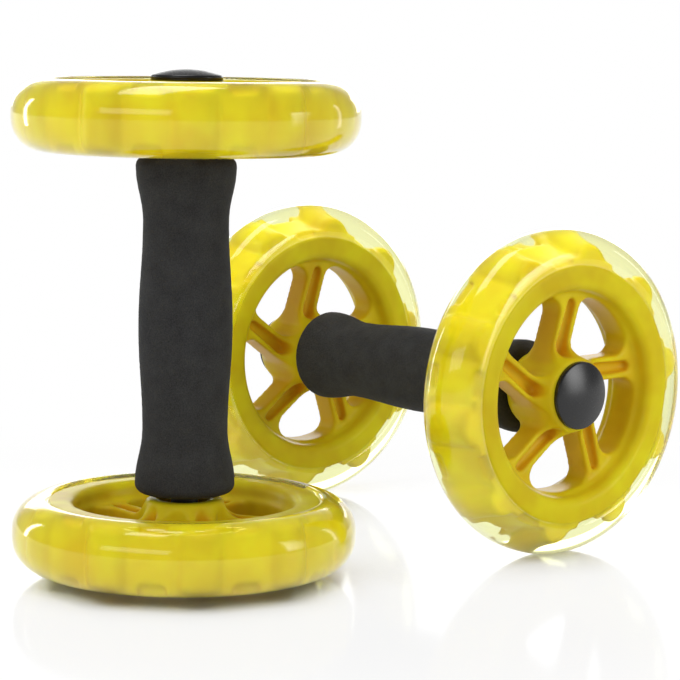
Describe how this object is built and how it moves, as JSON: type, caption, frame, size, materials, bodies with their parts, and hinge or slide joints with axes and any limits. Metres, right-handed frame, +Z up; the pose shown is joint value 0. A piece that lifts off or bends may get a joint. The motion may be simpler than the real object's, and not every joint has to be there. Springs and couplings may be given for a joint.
{
  "type": "ab wheel roller",
  "caption": "Pair of short hand rollers for core training: each has a foam-covered handle with a clear-tyred, spoked wheel turning freely on both ends.",
  "frame": {"origin": "on the ground under the standing roller's axle, at the middle of the flat crown it stands on", "axes": "+Z up along the standing roller's axle, +X along the lying roller's axle, +Y from the standing roller towards the lying one"},
  "size_m": [0.221, 0.316, 0.221],
  "materials": {
    "grip_foam": "matte",
    "tube_steel": "satin",
    "yellow_core": "gloss",
    "clear_tyre": "gloss",
    "black_cap": "satin",
    "bearing_steel": "satin",
    "polished_steel": "polished",
    "white_nylon": "satin",
    "pressed_steel": "satin",
    "spacer_alloy": "satin",
    "plated_bolt": "satin",
    "black_plug": "matte",
    "insert_brass": "satin"
  },
  "bodies": {
    "standing_handle": {"standing_foam_grip": "grip_foam", "standing_handle_tube": "tube_steel", "standing_upper_bearing_inner_rings": "bearing_steel", "standing_upper_bearing_spacer": "spacer_alloy", "standing_upper_axle_washer": "pressed_steel", "standing_upper_axle_bolt": "plated_bolt", "standing_upper_end_plug": "black_plug", "standing_upper_threaded_insert": "insert_brass", "standing_lower_bearing_inner_rings": "bearing_steel", "standing_lower_bearing_spacer": "spacer_alloy", "standing_lower_axle_washer": "pressed_steel", "standing_lower_axle_bolt": "plated_bolt", "standing_lower_end_plug": "black_plug", "standing_lower_threaded_insert": "insert_brass"},
    "standing_upper_wheel": {"standing_upper_wheel_core": "yellow_core", "standing_upper_tyre": "clear_tyre", "standing_upper_hub_cap": "black_cap", "standing_upper_bearing_outer_rings": "bearing_steel", "standing_upper_bearing_shields": "pressed_steel"},
    "standing_upper_ball_set": {"standing_upper_bearing_balls": "polished_steel", "standing_upper_bearing_cages": "white_nylon"},
    "standing_lower_wheel": {"standing_lower_wheel_core": "yellow_core", "standing_lower_tyre": "clear_tyre", "standing_lower_hub_cap": "black_cap", "standing_lower_bearing_outer_rings": "bearing_steel", "standing_lower_bearing_shields": "pressed_steel"},
    "standing_lower_ball_set": {"standing_lower_bearing_balls": "polished_steel", "standing_lower_bearing_cages": "white_nylon"},
    "lying_handle": {"lying_foam_grip": "grip_foam", "lying_handle_tube": "tube_steel", "lying_right_bearing_inner_rings": "bearing_steel", "lying_right_bearing_spacer": "spacer_alloy", "lying_right_axle_washer": "pressed_steel", "lying_right_axle_bolt": "plated_bolt", "lying_right_end_plug": "black_plug", "lying_right_threaded_insert": "insert_brass", "lying_left_bearing_inner_rings": "bearing_steel", "lying_left_bearing_spacer": "spacer_alloy", "lying_left_axle_washer": "pressed_steel", "lying_left_axle_bolt": "plated_bolt", "lying_left_end_plug": "black_plug", "lying_left_threaded_insert": "insert_brass"},
    "lying_right_wheel": {"lying_right_wheel_core": "yellow_core", "lying_right_tyre": "clear_tyre", "lying_right_hub_cap": "black_cap", "lying_right_bearing_outer_rings": "bearing_steel", "lying_right_bearing_shields": "pressed_steel"},
    "lying_right_ball_set": {"lying_right_bearing_balls": "polished_steel", "lying_right_bearing_cages": "white_nylon"},
    "lying_left_wheel": {"lying_left_wheel_core": "yellow_core", "lying_left_tyre": "clear_tyre", "lying_left_hub_cap": "black_cap", "lying_left_bearing_outer_rings": "bearing_steel", "lying_left_bearing_shields": "pressed_steel"},
    "lying_left_ball_set": {"lying_left_bearing_balls": "polished_steel", "lying_left_bearing_cages": "white_nylon"}
  },
  "joints": [
    {"name": "standing_upper_wheel_spin", "type": "hinge", "parent": "standing_handle", "child": "standing_upper_wheel", "pos_m": [0, 0, 0.201], "axis": [0, 0, 1], "continuous": true},
    {"name": "standing_upper_ball_spin", "type": "hinge", "parent": "standing_handle", "child": "standing_upper_ball_set", "pos_m": [0, 0, 0.201], "axis": [0, 0, 1], "continuous": true},
    {"name": "standing_lower_wheel_spin", "type": "hinge", "parent": "standing_handle", "child": "standing_lower_wheel", "pos_m": [0, 0, 0.02], "axis": [0, 0, 1], "continuous": true},
    {"name": "standing_lower_ball_spin", "type": "hinge", "parent": "standing_handle", "child": "standing_lower_ball_set", "pos_m": [0, 0, 0.02], "axis": [0, 0, 1], "continuous": true},
    {"name": "lying_right_wheel_spin", "type": "hinge", "parent": "lying_handle", "child": "lying_right_wheel", "pos_m": [0.0605, 0.166, 0.075], "axis": [1, 0, 0], "continuous": true},
    {"name": "lying_right_ball_spin", "type": "hinge", "parent": "lying_handle", "child": "lying_right_ball_set", "pos_m": [0.0605, 0.166, 0.075], "axis": [1, 0, 0], "continuous": true},
    {"name": "lying_left_wheel_spin", "type": "hinge", "parent": "lying_handle", "child": "lying_left_wheel", "pos_m": [-0.1205, 0.166, 0.075], "axis": [1, 0, 0], "continuous": true},
    {"name": "lying_left_ball_spin", "type": "hinge", "parent": "lying_handle", "child": "lying_left_ball_set", "pos_m": [-0.1205, 0.166, 0.075], "axis": [1, 0, 0], "continuous": true},
    {"name": "lying_roller_travel", "type": "slide", "parent": "standing_handle", "child": "lying_handle", "axis": [0, 1, 0], "range_m": [0, 0.25]}
  ],
  "couplings": [
    {"joint": "standing_upper_ball_spin", "follows": "standing_upper_wheel_spin", "ratio": 0.63233},
    {"joint": "standing_lower_ball_spin", "follows": "standing_lower_wheel_spin", "ratio": 0.63233},
    {"joint": "lying_right_ball_spin", "follows": "lying_right_wheel_spin", "ratio": 0.63233},
    {"joint": "lying_left_ball_spin", "follows": "lying_left_wheel_spin", "ratio": 0.63233}
  ]
}
